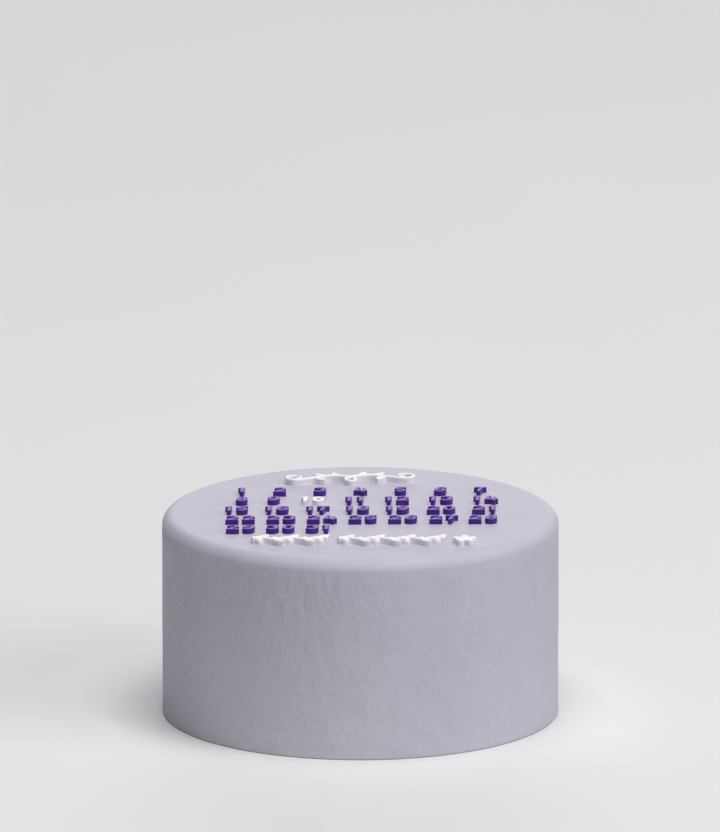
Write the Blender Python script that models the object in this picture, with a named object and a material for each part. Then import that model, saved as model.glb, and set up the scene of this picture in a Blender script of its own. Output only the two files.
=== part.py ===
"""Round celebration cake covered in lilac sugar paste. The days of one month lie on its flat top as raised
purple numerals in rows of seven, one day of them white, with white sugar ornaments behind and in front.

Metres, +Z up. The cake stands on Z = 0 with its middle on the Z axis, and its front looks along -Y.
Run with: blender --background --python part.py
"""

import math

import bmesh
import bpy
from mathutils import Matrix, Vector

MM = 0.001

# The covered cake: an upright round with a flat top, a rounded rim and a nearly sharp foot.
CAKE_RADIUS = 100 * MM
CAKE_HEIGHT = 102.5 * MM
RIM_RADIUS = 6 * MM
FOOT_RADIUS = 1 * MM
CAKE_SEGMENTS = 72
RIM_STEPS = 6
FOOT_STEPS = 1

# A piece that rests on another stays this far clear of it.
GAP = 0.3 * MM

# How a strip of paste ends and bends: the share of its edge taken off at an end, the most of its half
# width that an edge may take, and the least cosine that a bend's mitre divides by.
END_TAPER = 0.7
MOST_BEVEL = 0.6
SHARPEST_MITRE = 0.5

# Numerals cut from sugar paste, with their top edges rounded off.
DIGIT_HEIGHT = 9.2 * MM
DIGIT_WIDTH = 6.3 * MM
DIGIT_STROKE = 2.05 * MM
DIGIT_THICKNESS = 2.45 * MM
DIGIT_EDGE = 0.45 * MM
DIGIT_SLANT = math.radians(5)
ONE_STEM = 3.1 * MM
ONE_LEAN = 0.05 * MM
ONE_FLAG = 2.1 * MM
TWO_WIDTH = 6.5 * MM
TWO_CROWN = (2.05 * MM, 2.2 * MM)
FOUR_WIDTH = 6.9 * MM
FOUR_BAR = 2.7 * MM
FOUR_STEM = 4.8 * MM
FOUR_ARM = (1.1 * MM, 2.1 * MM)
SIX_OPENING = 35
SIX_REACH = 1.12
SEVEN_WIDTH = 6.3 * MM
SEVEN_FOOT = 2.75 * MM
SEVEN_SWEEP = (3.0 * MM, 8.6 * MM)

# Lines that the numerals share: the middles of their strokes at the left, at the right and at the top, the
# waist of a 3 or 8, and the middle of the round bowl of a 5, 6 or 9.
LEFT = DIGIT_STROKE / 2
MIDDLE = DIGIT_WIDTH / 2
RIGHT = DIGIT_WIDTH - LEFT
REACH = RIGHT - MIDDLE
TOP = DIGIT_HEIGHT - LEFT
WAIST = 0.53 * DIGIT_HEIGHT
UPPER_RADIUS = (TOP - WAIST) / 2
LOWER_RADIUS = (WAIST - LEFT) / 2
BOWL = 0.33 * DIGIT_HEIGHT

# How finely curves are cut up.
ARC_STEP = math.radians(30)
ROUND_STEPS = 12
ZERO_STEPS = 16
BERRY_STEPS = 8

# How the days are set out. Each week has its left end and the clear space between its days. A stray day lies
# this far to the right and this far back of where its row would have it.
DAYS = 31
WEEK = 7
MARKED_DAY = 10
FIRST_BASELINE = 33.2 * MM
WEEK_PITCH = 19.2 * MM
DIGIT_SPACE = 1.6 * MM
ONE_BEARING = 0.3 * MM
CALENDAR_TURN = math.radians(0.6)
STRAYS = {
    7: (0.2 * MM, 0),
    9: (-0.2 * MM, 0.9 * MM),
    12: (0, 0.4 * MM),
    13: (-0.25 * MM, 0.5 * MM),
    14: (-0.25 * MM, 0.9 * MM),
    17: (0.25 * MM, 0),
    18: (-0.2 * MM, 0),
    19: (-0.45 * MM, 0),
    27: (0.4 * MM, 0),
    28: (-0.2 * MM, 0),
}
WEEKS = (
    (-61.7 * MM, 13.76 * MM),
    (-62.9 * MM, 10.14 * MM),
    (-68.4 * MM, 8.27 * MM),
    (-68.15 * MM, 5.63 * MM),
    (-67.95 * MM, 5.53 * MM),
)

# White ornaments of the same paste: a scroll behind the days, and two leafy garlands and a flower in front.
ORNAMENT_THICKNESS = 3.0 * MM
LEAF_THICKNESS = 2.7 * MM
ORNAMENT_EDGE = 0.6 * MM
LEAF = (6.8 * MM, 4.3 * MM)
LEAF_SHAPE = ((0, 0.5), (0.3, 0.96), (0.62, 0.88), (1, 0.33))
PETAL = (6.0 * MM, 4.3 * MM)
PETAL_SHAPE = ((0, 0.4), (0.6, 1.0), (1, 0.62))
SCROLL_PLACE = (-5.2 * MM, 62.5 * MM)
SCROLL_TURN = math.radians(4)
SCROLL_HALF = 34 * MM
SCROLL_STEM = 2.5 * MM
SCROLL_TAPER = 0.4
SCROLL_DIP = 1.2 * MM
SCROLL_SWELL = (
    (5.0 * MM, 2.9 * MM),
    (10.0 * MM, 3.6 * MM),
    (15.0 * MM, 2.2 * MM),
    (20.0 * MM, -0.7 * MM),
    (24.5 * MM, -3.2 * MM),
)
SCROLL_LEAVES = ((5.5 * MM, 3.2 * MM, 65), (12.5 * MM, 3.0 * MM, 42), (17.0 * MM, 0.6 * MM, -125))
CURL_RADIUS = 5.0 * MM
CURL_HEIGHT = 0.9 * MM
CURL_START = -80
CURL_CLOSING = 0.58
DROP = (2.5 * MM, 3.5 * MM)
DROP_HEIGHT = -3.4 * MM
DROP_STROKE = 2.0 * MM
GARLAND_Y = -62.6 * MM
SHORT_GARLAND = (-35.5 * MM, 38.0 * MM, 5)
LONG_GARLAND = (15.3 * MM, 53.5 * MM, 7)
GARLAND_STEM = 2.3 * MM
GARLAND_WAVE = 1.6 * MM
LEAF_HEADING = 46
BERRY_RADIUS = 1.9 * MM
BERRY_SUNK = 0.2
FLOWER_PLACE = (52.2 * MM, -62.6 * MM)
FLOWER_PETALS = 5
BUTTON_RADIUS = 1.9 * MM

# Colours as linear light.
LILAC = (0.56, 0.53, 0.65, 1.0)
PURPLE = (0.16, 0.06, 0.36, 1.0)
WHITE = (0.86, 0.82, 0.86, 1.0)


def clear_scene():
    for obj in list(bpy.data.objects):
        bpy.data.objects.remove(obj)


def paste(name, colour, roughness):
    """A sugar paste of one colour."""
    material = bpy.data.materials.new(name)
    material.use_nodes = True
    shader = material.node_tree.nodes["Principled BSDF"]
    shader.inputs["Base Color"].default_value = colour
    shader.inputs["Roughness"].default_value = roughness
    shader.inputs["Metallic"].default_value = 0.0
    material.diffuse_color = colour
    return material


def arc(centre, radii, start, end):
    """Points of an elliptical arc between two angles in degrees, both ends among them."""
    start, end = math.radians(start), math.radians(end)
    steps = max(2, round(abs(end - start) / ARC_STEP))
    angles = [start + (end - start) * i / steps for i in range(steps + 1)]
    return [(centre[0] + radii[0] * math.cos(a), centre[1] + radii[1] * math.sin(a)) for a in angles]


def ellipse(centre, radii, steps=ROUND_STEPS):
    """Points of a whole ellipse, with the first not repeated."""
    angles = [math.tau * i / steps for i in range(steps)]
    return [(centre[0] + radii[0] * math.cos(a), centre[1] + radii[1] * math.sin(a)) for a in angles]


def side_offsets(points, closed):
    """For each point of a path, the step to its left that keeps the strip's width round a bend."""
    path = [Vector(point) for point in points]
    spans = list(zip(path, path[1:] + path[:1]))
    if not closed:
        spans.pop()
    normals = []
    for near, far in spans:
        way = (far - near).normalized()
        normals.append(Vector((-way.y, way.x)))
    if closed:
        pairs = zip(normals[-1:] + normals[:-1], normals)
    else:
        pairs = zip(normals[:1] + normals, normals + normals[-1:])
    offsets = []
    for before, after in pairs:
        middle = (before + after).normalized()
        offsets.append(middle / max(SHARPEST_MITRE, middle.dot(after)))
    return offsets


def with_blunt_ends(points, widths, edge):
    """The path with a narrower station at each end, so that the strip's corners are taken off."""
    first, second, before_last, last = (Vector(points[i]) for i in (0, 1, -2, -1))
    near = first + (second - first).normalized() * edge
    far = last + (before_last - last).normalized() * edge
    narrowed = 2 * END_TAPER * edge
    points = [points[0], tuple(near), *points[1:-1], tuple(far), points[-1]]
    widths = [widths[0] - narrowed, widths[0], *widths[1:-1], widths[-1], widths[-1] - narrowed]
    return points, widths


def section(width, thickness, edge, blunt):
    """Outline across a strip as steps to its left and heights, from one foot over the top to the other."""
    half = width / 2
    lowered = END_TAPER * edge if blunt else 0
    top = thickness - lowered
    shoulder = top - (lowered or edge)
    flat = half - min(edge / 2 if blunt else edge, MOST_BEVEL * half)
    return ((half, 0), (half, shoulder), (flat, top), (-flat, top), (-half, shoulder), (-half, 0))


def strip(points, widths, thickness, edge, closed=False):
    """A strip of paste along a path on Z = 0, with a flat foot, upright sides and bevelled top edges."""
    if not closed:
        points, widths = with_blunt_ends(points, widths, edge)
    shape = bmesh.new()
    rings = []
    for i, offset in enumerate(side_offsets(points, closed)):
        x, y = points[i]
        blunt = not closed and i in (0, len(points) - 1)
        outline = section(widths[i], thickness, edge, blunt)
        corners = [(x + offset.x * side, y + offset.y * side, z) for side, z in outline]
        rings.append([shape.verts.new(corner) for corner in corners])
    spans = list(zip(rings, rings[1:] + rings[:1]))
    if not closed:
        spans.pop()
        shape.faces.new(rings[0])
        shape.faces.new(rings[-1])
    for near, far in spans:
        for j in range(len(near)):
            shape.faces.new((near[j - 1], near[j], far[j], far[j - 1]))
    bmesh.ops.recalc_face_normals(shape, faces=shape.faces)
    return mesh_from(shape, "strip")


def mesh_from(shape, name):
    """The bmesh as a mesh, with the bmesh freed."""
    mesh = bpy.data.meshes.new(name)
    shape.to_mesh(mesh)
    shape.free()
    return mesh


def fuse(name, meshes, solver="EXACT"):
    """One mesh that is the union of several closed ones. Leaves with level tops need the MANIFOLD solver."""
    collection = bpy.context.scene.collection
    objects = [bpy.data.objects.new(f"{name}_piece", mesh) for mesh in meshes]
    for obj in objects:
        collection.objects.link(obj)
    whole = objects[0]
    for obj in objects[1:]:
        union = whole.modifiers.new("union", "BOOLEAN")
        union.operation = "UNION"
        union.solver = solver
        union.object = obj
    bpy.context.view_layer.update()
    graph = bpy.context.evaluated_depsgraph_get()
    fused = bpy.data.meshes.new_from_object(whole.evaluated_get(graph))
    fused.name = name
    for obj in objects:
        bpy.data.objects.remove(obj)
    return fused


def zero():
    """A tall ring."""
    return [(ellipse((MIDDLE, DIGIT_HEIGHT / 2), (REACH, DIGIT_HEIGHT / 2 - LEFT), ZERO_STEPS), True)]


def one():
    """A stem, and a flag from its top down to the left."""
    head = ONE_STEM + ONE_LEAN
    stem = [(ONE_STEM, 0), (head, DIGIT_HEIGHT)]
    flag = [(head, TOP), (LEFT, DIGIT_HEIGHT - ONE_FLAG)]
    return [(stem, False), (flag, False)]


def two():
    """A round crown that runs down to a straight base."""
    across, tall = TWO_CROWN
    crown = arc((LEFT + across, TOP - tall), TWO_CROWN, 170, -30)
    neck = (1.5 * LEFT, 1.5 * LEFT)
    return [(crown + [neck], False), ([(0, LEFT), (TWO_WIDTH, LEFT)], False)]


def three():
    """Two open bows that meet at the waist."""
    upper = arc((MIDDLE, WAIST + UPPER_RADIUS), (REACH, UPPER_RADIUS), 170, -90)
    lower = arc((MIDDLE, WAIST - LOWER_RADIUS), (1.08 * REACH, LOWER_RADIUS), 90, -165)
    return [(upper, False), (lower, False)]


def four():
    """Open at its top: a leaning arm, a bar that runs past the stem, and the stem."""
    foot, head = FOUR_ARM
    arm = [(head, DIGIT_HEIGHT), (foot, FOUR_BAR)]
    bar = [(0, FOUR_BAR), (FOUR_WIDTH, FOUR_BAR)]
    stem = [(FOUR_STEM, DIGIT_HEIGHT - DIGIT_STROKE), (FOUR_STEM, 0)]
    return [(arm, False), (bar, False), (stem, False)]


def five():
    """A bar, a short stem and an open bowl."""
    shoulder = (1.1 * LEFT, 0.55 * DIGIT_HEIGHT)
    bar = [(RIGHT + DIGIT_STROKE / 3, TOP), (LEFT, TOP)]
    stem = [(1.4 * LEFT, TOP + LEFT / 2), shoulder]
    bowl = [shoulder] + arc((MIDDLE, BOWL), (REACH, BOWL - LEFT), 110, -150)
    return [(bar, False), (stem, False), (bowl, False)]


def six():
    """A round bowl, and a tail that rises from its left side and comes round over it."""
    half = DIGIT_HEIGHT / 2
    across = SIX_REACH * REACH
    tail = [(LEFT, BOWL)] + arc((LEFT + across, half), (across, TOP - half), 180, SIX_OPENING)
    return [(ellipse((MIDDLE, BOWL), (REACH, BOWL - LEFT)), True), (tail, False)]


def seven():
    """A bar, and a stem that sweeps from its right end down to an upright foot."""
    bar = [(0, TOP), (SEVEN_WIDTH, TOP)]
    stem = arc((SEVEN_FOOT + SEVEN_SWEEP[0], 0), SEVEN_SWEEP, 105, 180)
    return [(bar, False), (stem, False)]


def eight():
    """Two rings, the upper one a little smaller."""
    upper = ellipse((MIDDLE, WAIST + UPPER_RADIUS), (0.84 * REACH, UPPER_RADIUS))
    lower = ellipse((MIDDLE, WAIST - LOWER_RADIUS), (0.96 * REACH, LOWER_RADIUS))
    return [(upper, True), (lower, True)]


def nine():
    """A six turned half round."""
    return [([(DIGIT_WIDTH - x, DIGIT_HEIGHT - y) for x, y in path], closed) for path, closed in six()]


# Each numeral's strokes, as paths in an upright box with its foot on Y = 0 and whether each is closed.
NUMERALS = (zero, one, two, three, four, five, six, seven, eight, nine)


def digit_mesh(digit):
    """The numeral as one solid, slanted, with its left end at X = 0 and its foot on Y = 0."""
    strips = [
        strip(path, [DIGIT_STROKE] * len(path), DIGIT_THICKNESS, DIGIT_EDGE, closed)
        for path, closed in NUMERALS[digit]()
    ]
    mesh = fuse(f"digit_{digit}", strips)
    slant = Matrix.Identity(4)
    slant[0][1] = math.tan(DIGIT_SLANT)
    mesh.transform(slant)
    mesh.transform(Matrix.Translation((-min(v.co.x for v in mesh.vertices), 0, 0)))
    return mesh


def mesh_width(mesh):
    return max(v.co.x for v in mesh.vertices)


def add_piece(name, mesh, material, parent, place):
    """A named object of this mesh, with the material on the object, so that pieces may share a mesh."""
    obj = bpy.data.objects.new(name, mesh)
    bpy.context.scene.collection.objects.link(obj)
    if not mesh.materials:
        mesh.materials.append(None)
    obj.material_slots[0].link = "OBJECT"
    obj.material_slots[0].material = material
    obj.parent = parent
    obj.location = place
    return obj


def cake_profile():
    """Radius and height along the outside, from the middle of the top down to the middle of the foot."""
    profile = [(0, CAKE_HEIGHT)]
    for i in range(RIM_STEPS + 1):
        a = math.pi / 2 * (1 - i / RIM_STEPS)
        profile.append(
            (CAKE_RADIUS - RIM_RADIUS * (1 - math.cos(a)), CAKE_HEIGHT - RIM_RADIUS * (1 - math.sin(a)))
        )
    for i in range(FOOT_STEPS + 1):
        a = -math.pi / 2 * i / FOOT_STEPS
        profile.append((CAKE_RADIUS - FOOT_RADIUS * (1 - math.cos(a)), FOOT_RADIUS * (1 + math.sin(a))))
    return profile + [(0, 0)]


def add_cake(material):
    shape = bmesh.new()
    points = [shape.verts.new((radius, 0, height)) for radius, height in cake_profile()]
    edges = [shape.edges.new(pair) for pair in zip(points, points[1:])]
    bmesh.ops.spin(
        shape,
        geom=points + edges,
        axis=(0, 0, 1),
        cent=(0, 0, 0),
        angle=math.tau,
        steps=CAKE_SEGMENTS,
        use_merge=True,
    )
    bmesh.ops.remove_doubles(shape, verts=shape.verts, dist=0.01 * MM)
    bmesh.ops.recalc_face_normals(shape, faces=shape.faces)
    mesh = mesh_from(shape, "cake")
    mesh.shade_smooth()
    mesh.set_sharp_from_angle(angle=math.radians(50))
    return add_piece("cake", mesh, material, None, (0, 0, 0))


def add_day(day, left, baseline, digits, material, calendar):
    """One day's digits from their left end on. Returns where the last one ends."""
    numerals = [int(character) for character in str(day)]
    places = ("tens", "units")[-len(numerals) :]
    right, back = STRAYS.get(day, (0, 0))
    for place, digit in zip(places, numerals):
        bearing = ONE_BEARING if digit == 1 else 0
        if place == "units" and len(numerals) == 2:
            left += DIGIT_SPACE
        spot = (left + bearing + right, baseline + back, 0)
        add_piece(f"day_{day:02}_{place}", digits[digit], material, calendar, spot)
        left += mesh_width(digits[digit]) + 2 * bearing
    return left


def add_calendar(purple, white):
    """The days of the month, each digit a piece of its own, on an empty that turns them all together."""
    calendar = bpy.data.objects.new("calendar", None)
    bpy.context.scene.collection.objects.link(calendar)
    calendar.location = (0, 0, CAKE_HEIGHT + GAP)
    calendar.rotation_euler = (0, 0, CALENDAR_TURN)
    digits = [digit_mesh(digit) for digit in range(10)]
    for week, (left, space) in enumerate(WEEKS):
        baseline = FIRST_BASELINE - week * WEEK_PITCH
        first = week * WEEK + 1
        for day in range(first, min(first + WEEK, DAYS + 1)):
            material = white if day == MARKED_DAY else purple
            left = add_day(day, left, baseline, digits, material, calendar) + space


def leaf(base, heading, size=LEAF, shape=LEAF_SHAPE):
    """A leaf or petal from its stalk's end outwards, with its heading in degrees."""
    length, width = size
    a = math.radians(heading)
    points = [(base[0] + length * t * math.cos(a), base[1] + length * t * math.sin(a)) for t, _ in shape]
    widths = [width * share for _, share in shape]
    return strip(points, widths, LEAF_THICKNESS, ORNAMENT_EDGE)


def button(centre, radius, thickness, steps):
    """A round button with its top edge taken off."""
    shape = bmesh.new()
    bmesh.ops.create_cone(
        shape, cap_ends=True, segments=steps, radius1=radius, radius2=radius, depth=thickness
    )
    bmesh.ops.translate(shape, verts=shape.verts, vec=(*centre, thickness / 2))
    rim = [edge for edge in shape.edges if all(v.co.z > thickness / 2 for v in edge.verts)]
    bmesh.ops.bevel(shape, geom=rim, offset=ORNAMENT_EDGE, segments=1, affect="EDGES")
    bmesh.ops.recalc_face_normals(shape, faces=shape.faces)
    return mesh_from(shape, "button")


def garland(length, waves):
    """A wavy stem, with a leaf outside each crest and trough and a berry inside it."""
    steps = 4 * waves
    stem = [
        (length * (i / steps - 0.5), GARLAND_WAVE * math.sin(math.pi * waves * i / steps))
        for i in range(steps + 1)
    ]
    meshes = [strip(stem, [GARLAND_STEM] * len(stem), ORNAMENT_THICKNESS, ORNAMENT_EDGE)]
    for i in range(waves):
        side = 1 if i % 2 == 0 else -1
        x = length * ((i + 0.5) / waves - 0.5)
        berry_y = GARLAND_WAVE - GARLAND_STEM / 2 - (1 - BERRY_SUNK) * BERRY_RADIUS
        meshes.append(leaf((x, side * GARLAND_WAVE), side * LEAF_HEADING))
        meshes.append(button((x, side * berry_y), BERRY_RADIUS, LEAF_THICKNESS, BERRY_STEPS))
    return meshes


def flower():
    """Round petals about a button."""
    headings = [90 + 360 * i / FLOWER_PETALS for i in range(FLOWER_PETALS)]
    petals = [leaf((0, 0), heading, PETAL, PETAL_SHAPE) for heading in headings]
    return [button((0, 0), BUTTON_RADIUS, ORNAMENT_THICKNESS, ROUND_STEPS)] + petals


def scroll_side():
    """The right half of the scroll's stem, from beside the middle out to the end of its curl."""
    centre = SCROLL_HALF - CURL_RADIUS - SCROLL_STEM / 2
    curl = []
    for i in range(ROUND_STEPS + 1):
        t = i / ROUND_STEPS
        a = math.radians(CURL_START) + math.tau * t
        radius = CURL_RADIUS * (1 - CURL_CLOSING * t)
        curl.append((centre + radius * math.cos(a), CURL_HEIGHT + radius * math.sin(a)))
    return list(SCROLL_SWELL) + curl


def scroll():
    """A stem that curls in at both ends, with leaves on it and an open drop under its middle."""
    right = scroll_side()
    left = [(-x, y) for x, y in reversed(right)]
    stem = left + [(0, SCROLL_DIP)] + right
    middle = len(right)
    widths = [SCROLL_STEM * (1 - SCROLL_TAPER * abs(i - middle) / middle) for i in range(len(stem))]
    drop = ellipse((0, DROP_HEIGHT), DROP)
    meshes = [
        strip(stem, widths, ORNAMENT_THICKNESS, ORNAMENT_EDGE),
        strip(drop, [DROP_STROKE] * len(drop), LEAF_THICKNESS, ORNAMENT_EDGE, closed=True),
    ]
    for x, y, heading in SCROLL_LEAVES:
        meshes.append(leaf((x, y), heading))
        meshes.append(leaf((-x, y), 180 - heading))
    return meshes


def add_ornament(name, meshes, place, turn, white):
    mesh = fuse(name, meshes, "MANIFOLD")
    piece = add_piece(name, mesh, white, None, (*place, CAKE_HEIGHT + GAP))
    piece.rotation_euler = (0, 0, turn)


def add_garland(name, x, length, waves, white):
    add_ornament(name, garland(length, waves), (x, GARLAND_Y), CALENDAR_TURN, white)


def main():
    clear_scene()
    lilac = paste("lilac_icing", LILAC, 0.6)
    purple = paste("purple_paste", PURPLE, 0.45)
    white = paste("white_paste", WHITE, 0.5)
    add_cake(lilac)
    add_calendar(purple, white)
    add_ornament("scroll_back", scroll(), SCROLL_PLACE, SCROLL_TURN, white)
    add_garland("garland_front_left", *SHORT_GARLAND, white)
    add_garland("garland_front_middle", *LONG_GARLAND, white)
    add_ornament("flower_front_right", flower(), FLOWER_PLACE, CALENDAR_TURN, white)


main()
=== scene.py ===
"""Looks of a round celebration cake: lilac sugar paste over the whole of it, the days of a month on its top
as purple numerals with one day in white, and white sugar ornaments behind and in front of them.

Metres, +Z up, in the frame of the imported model. Each smooth piece stands for a node of that model, and takes
its place and its height from it.
"""

import math

import bmesh
import bpy
from mathutils import Matrix, Vector


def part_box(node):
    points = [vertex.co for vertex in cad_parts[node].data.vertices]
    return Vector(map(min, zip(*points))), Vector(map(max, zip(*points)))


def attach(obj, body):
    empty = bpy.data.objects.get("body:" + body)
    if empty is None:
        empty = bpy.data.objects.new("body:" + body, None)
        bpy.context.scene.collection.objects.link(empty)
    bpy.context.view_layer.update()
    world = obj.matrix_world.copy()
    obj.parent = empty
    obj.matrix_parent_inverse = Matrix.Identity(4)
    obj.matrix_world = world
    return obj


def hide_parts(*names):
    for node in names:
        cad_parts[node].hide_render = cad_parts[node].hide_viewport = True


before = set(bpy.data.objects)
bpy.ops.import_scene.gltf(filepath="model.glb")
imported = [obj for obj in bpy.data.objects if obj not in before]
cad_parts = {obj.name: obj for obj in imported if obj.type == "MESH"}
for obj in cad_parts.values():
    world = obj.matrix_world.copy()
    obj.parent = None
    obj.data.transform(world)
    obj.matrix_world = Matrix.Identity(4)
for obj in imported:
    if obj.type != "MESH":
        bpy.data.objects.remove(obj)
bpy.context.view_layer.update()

MM = 0.001

# The covering's outline. Its radius and height are the node's.
CAKE_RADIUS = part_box("cake")[1].x
CAKE_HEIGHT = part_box("cake")[1].z
RIM_RADIUS = 6 * MM
FOOT_RADIUS = 1 * MM
TOP_RINGS = 36
RIM_STEPS = 18
SIDE_RINGS = 56
FOOT_STEPS = 5
UNDER_RINGS = 8
AROUND = 480
SEAM = 0.01 * MM

# How far hand smoothing leaves the covering from true, and how wide its shallow hollows are. The covering
# only ever strays inwards: where the hollows' noise is above its crest, it stays true. Just above the foot it
# stays true too, and on the top it strays by a share of what it does on the side.
UNEVENNESS = 0.5 * MM
HOLLOW = 34 * MM
HOLLOW_SEED = 3.0
CREST = 0.75
TRUE_FOOT = 3 * MM
TOP_SHARE = 0.35

# A piece of paste is pressed this far into the covering.
PRESSED_IN = 0.15 * MM

# A strip's top keeps at least this share of its width, and a bend's mitre divides by at least this cosine.
LEAST_SHARE = 0.1
SHARPEST_MITRE = 0.5

# Every noise is given as the width of its marks, its detail and its roughness. Most of its values lie in
# these spans, and the narrow one gives its pattern the stronger contrast.
NARROW_SPAN = (0.35, 0.65)
WIDE_SPAN = (0.3, 0.7)

# The icing's relief, each kind as a noise and its depth. Hand smoothing draws the marks out a little upright,
# and leans them by an angle for each metre above a level, from the left of the side to just beyond its
# middle. They are strongest on the left, and only a share of them is left on the top.
GRAIN = (0.7 * MM, 2.0, 0.6)
GRAIN_DEPTH = 0.018 * MM
MARKS = (1.7 * MM, 3.0, 0.62)
MARKS_DEPTH = 0.2 * MM
BROAD_MARKS = (11 * MM, 2.0, 0.5)
BROAD_DEPTH = 0.75 * MM
MARK_STRETCH = (1.0, 1.0, 0.8)
LEVEL_OF_LEAN = 20 * MM
LEAN_ACROSS = (-100 * MM, 20 * MM)
LEAN_PER_METRE = (-9.0, 4.0)
WORKED_ACROSS = (-90 * MM, 30 * MM)
WORKED = (2.3, 1.1)
MARKED_TOP = 0.1

# The faint steps where the smoother stopped are the edges of a slow noise, between two of its values. They
# are seen only in places, where another noise is high.
CREASES = (26 * MM, 1.0, 0.5)
CREASES_DEPTH = 0.1 * MM
CREASES_EDGE = (0.47, 0.55)
CREASED = (35 * MM, 1.0, 0.5)
CREASED_SPAN = (0.42, 0.6)

# Marks and creases bow: the width of the bows and how far they reach.
MARKS_BOW = (25 * MM, 6 * MM)
CREASES_BOW = (50 * MM, 20 * MM)

# The icing's colour: two shades in patches, and shares of specks, of rubbed marks and of painted light at
# the foot, a paler colour that stands for light bounced up from the floor. The painted light's share is
# multiplied by two factors, each of which goes from its first value to its second over a stretch from left
# to right.
ICING_SHADES = ((0.54, 0.522, 0.625, 1), (0.57, 0.552, 0.65, 1))
PATCHES = (30 * MM, 3.0, 0.5)
SPECK_SHADE = (0.525, 0.507, 0.61, 1)
SPECKS = (1.6 * MM, 2.0, 0.5)
SPECKS_SPAN = (0.4, 0.7)
SPECKED = 0.25
RUBBED_SHADE = (0.35, 0.335, 0.43, 1)
RUBBED = 0.09
PAINTED_BOUNCE_COLOUR = (0.82, 0.81, 0.86, 1)
PAINTED_BOUNCE_SHARE = 0.18
FRONT_ACROSS = (-50 * MM, 50 * MM)
PAINTED_BOUNCE_IN_FRONT = (2.5, 0.85)
FAR_LEFT = (-100 * MM, -60 * MM)
PAINTED_BOUNCE_AT_FAR_LEFT = (0.1, 1.0)
ICING_ROUGHNESS = (0.52, 0.66)
ICING_IOR = 1.36

# Cut pastes: light and dark clouds, the rolled face's colour, paler with a coating of sugar and with painted
# light from above, roughness from gloss to matt, and the weight and tint of the bloom.
PURPLE = {
    "light": (0.064, 0.013, 0.265, 1),
    "dark": (0.052, 0.010, 0.23, 1),
    "film_and_painted_light": (0.112, 0.034, 0.33, 1),
    "gloss": 0.34,
    "matt": 0.46,
}
PURPLE_BLOOM = (0.24, (0.8, 0.35, 1, 1))
PURPLE_REFLECTION = 0.36
WHITE = {
    "light": (0.95, 0.90, 0.935, 1),
    "dark": (0.92, 0.87, 0.905, 1),
    "film_and_painted_light": (0.97, 0.94, 0.96, 1),
    "gloss": 0.36,
    "matt": 0.48,
}
WHITE_BLOOM = (0.2, (1, 0.92, 0.97, 1))
BLOOM_ROUGHNESS = 0.5

# Cut paste is cloudy, and its dust makes it now glossier, now duller. The rolled face's paler colour, a
# sugar coating and painted light from above, covers what faces upwards, from a lean to nearly level.
PASTE_CLOUDS = (2.4 * MM, 3.0, 0.5)
PASTE_DUST = (0.9 * MM, 3.0, 0.6)
FILM_AND_LIGHT_SPAN = (0.35, 0.95)
PASTE_GRAIN = (0.35 * MM, 2.0, 0.5)
PASTE_GRAIN_DEPTH = 0.012 * MM
PASTE_DENTS = (2.0 * MM, 2.0, 0.5)
PASTE_DENTS_DEPTH = 0.06 * MM

# Numerals, as the model has them but with finer curves and fuller edges.
DIGIT_HEIGHT = 9.2 * MM
DIGIT_WIDTH = 6.3 * MM
DIGIT_STROKE = 2.05 * MM
DIGIT_EDGE = 0.42 * MM
DIGIT_SLANT = math.radians(5)
ONE_STEM = 3.1 * MM
ONE_LEAN = 0.05 * MM
ONE_FLAG = 2.1 * MM
TWO_WIDTH = 6.5 * MM
TWO_CROWN = (2.05 * MM, 2.2 * MM)
FOUR_WIDTH = 6.9 * MM
FOUR_BAR = 2.7 * MM
FOUR_STEM = 4.8 * MM
FOUR_ARM = (1.1 * MM, 2.1 * MM)
SIX_OPENING = 35
SIX_REACH = 1.12
SEVEN_WIDTH = 6.3 * MM
SEVEN_FOOT = 2.75 * MM
SEVEN_SWEEP = (3.0 * MM, 8.6 * MM)
LEFT = DIGIT_STROKE / 2
MIDDLE = DIGIT_WIDTH / 2
RIGHT = DIGIT_WIDTH - LEFT
REACH = RIGHT - MIDDLE
TOP = DIGIT_HEIGHT - LEFT
WAIST = 0.53 * DIGIT_HEIGHT
UPPER_RADIUS = (TOP - WAIST) / 2
LOWER_RADIUS = (WAIST - LEFT) / 2
BOWL = 0.33 * DIGIT_HEIGHT
ARC_STEP = math.radians(9)
EDGE_STEPS = 5
CORNER = 0.2 * MM
CALENDAR_TURN = math.radians(0.6)
MARKED_DAY = "day_10"

# White ornaments. Leaves, petals and the scroll's drop lie a little lower than the stems and buttons. Near
# its tip a leaf rounds off, and its end stays a little blunt.
LEAF_LOWER = 0.2 * MM
PETAL_LOWER = 0.3 * MM
DROP_LOWER = 0.3 * MM
ORNAMENT_EDGE = 0.8 * MM
LEAF = (6.8 * MM, 4.3 * MM)
LEAF_SHAPE = ((0, 0.5), (0.3, 0.96), (0.62, 0.88), (1, 0.33))
PETAL = (6.0 * MM, 4.3 * MM)
PETAL_SHAPE = ((0, 0.4), (0.6, 1.0), (1, 0.62))
LEAF_STEPS = 22
LEAF_TIP = 0.88
LEAF_END = 0.02
ACROSS = 18
DOME = 0.75 * MM
VEIN = 0.5 * MM
VEIN_WIDTH = 0.2
VEIN_END = 0.95
CUP = 0.35 * MM
SCROLL_TURN = math.radians(4)
SCROLL_HALF = 34 * MM
SCROLL_STEM = 2.5 * MM
SCROLL_TAPER = 0.4
SCROLL_DIP = 1.2 * MM
SCROLL_SWELL = (
    (5.0 * MM, 2.9 * MM),
    (10.0 * MM, 3.6 * MM),
    (15.0 * MM, 2.2 * MM),
    (20.0 * MM, -0.7 * MM),
    (24.5 * MM, -3.2 * MM),
)
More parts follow.
